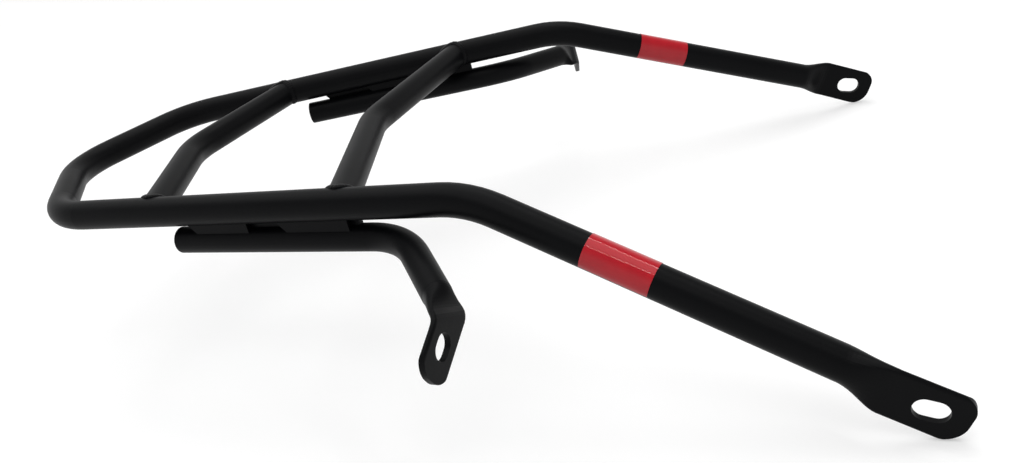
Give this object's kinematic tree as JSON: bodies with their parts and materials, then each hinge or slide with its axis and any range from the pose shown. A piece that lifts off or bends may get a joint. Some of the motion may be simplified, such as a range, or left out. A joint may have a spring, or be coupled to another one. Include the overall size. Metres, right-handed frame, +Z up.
{
  "type": "motorcycle luggage rack",
  "caption": "Tubular luggage rack with a tapered hoop, pointed crossbars, long front arms and bent stays, bolted on through slots in its pressed-flat tube ends.",
  "frame": {"origin": "on the plane that the luggage rests on (the tops of the tubes), on the centre line, midway between the front bends and the rear corners", "axes": "+X forward along the motorcycle, +Y to its left, +Z up and square to the luggage plane"},
  "size_m": [0.4932, 0.407, 0.1103],
  "materials": {
    "black_powder_coat": "satin black powder coat on steel tube, with a fine orange-peel texture",
    "red_film": "gloss red adhesive film, plain"
  },
  "bodies": {
    "root": {"hoop_tube": "black_powder_coat", "rear_crossbar": "black_powder_coat", "front_crossbar": "black_powder_coat", "stay_right": "black_powder_coat", "stay_left": "black_powder_coat", "filler_outer_rear_right": "black_powder_coat", "filler_outer_rear_left": "black_powder_coat", "filler_outer_front_right": "black_powder_coat", "filler_outer_front_left": "black_powder_coat", "filler_inner_right": "black_powder_coat", "filler_inner_left": "black_powder_coat", "weld_rear_bar_right": "black_powder_coat", "weld_rear_bar_left": "black_powder_coat", "weld_front_bar_right": "black_powder_coat", "weld_front_bar_left": "black_powder_coat", "film_band_right": "red_film", "film_band_left": "red_film"}
  },
  "joints": []
}
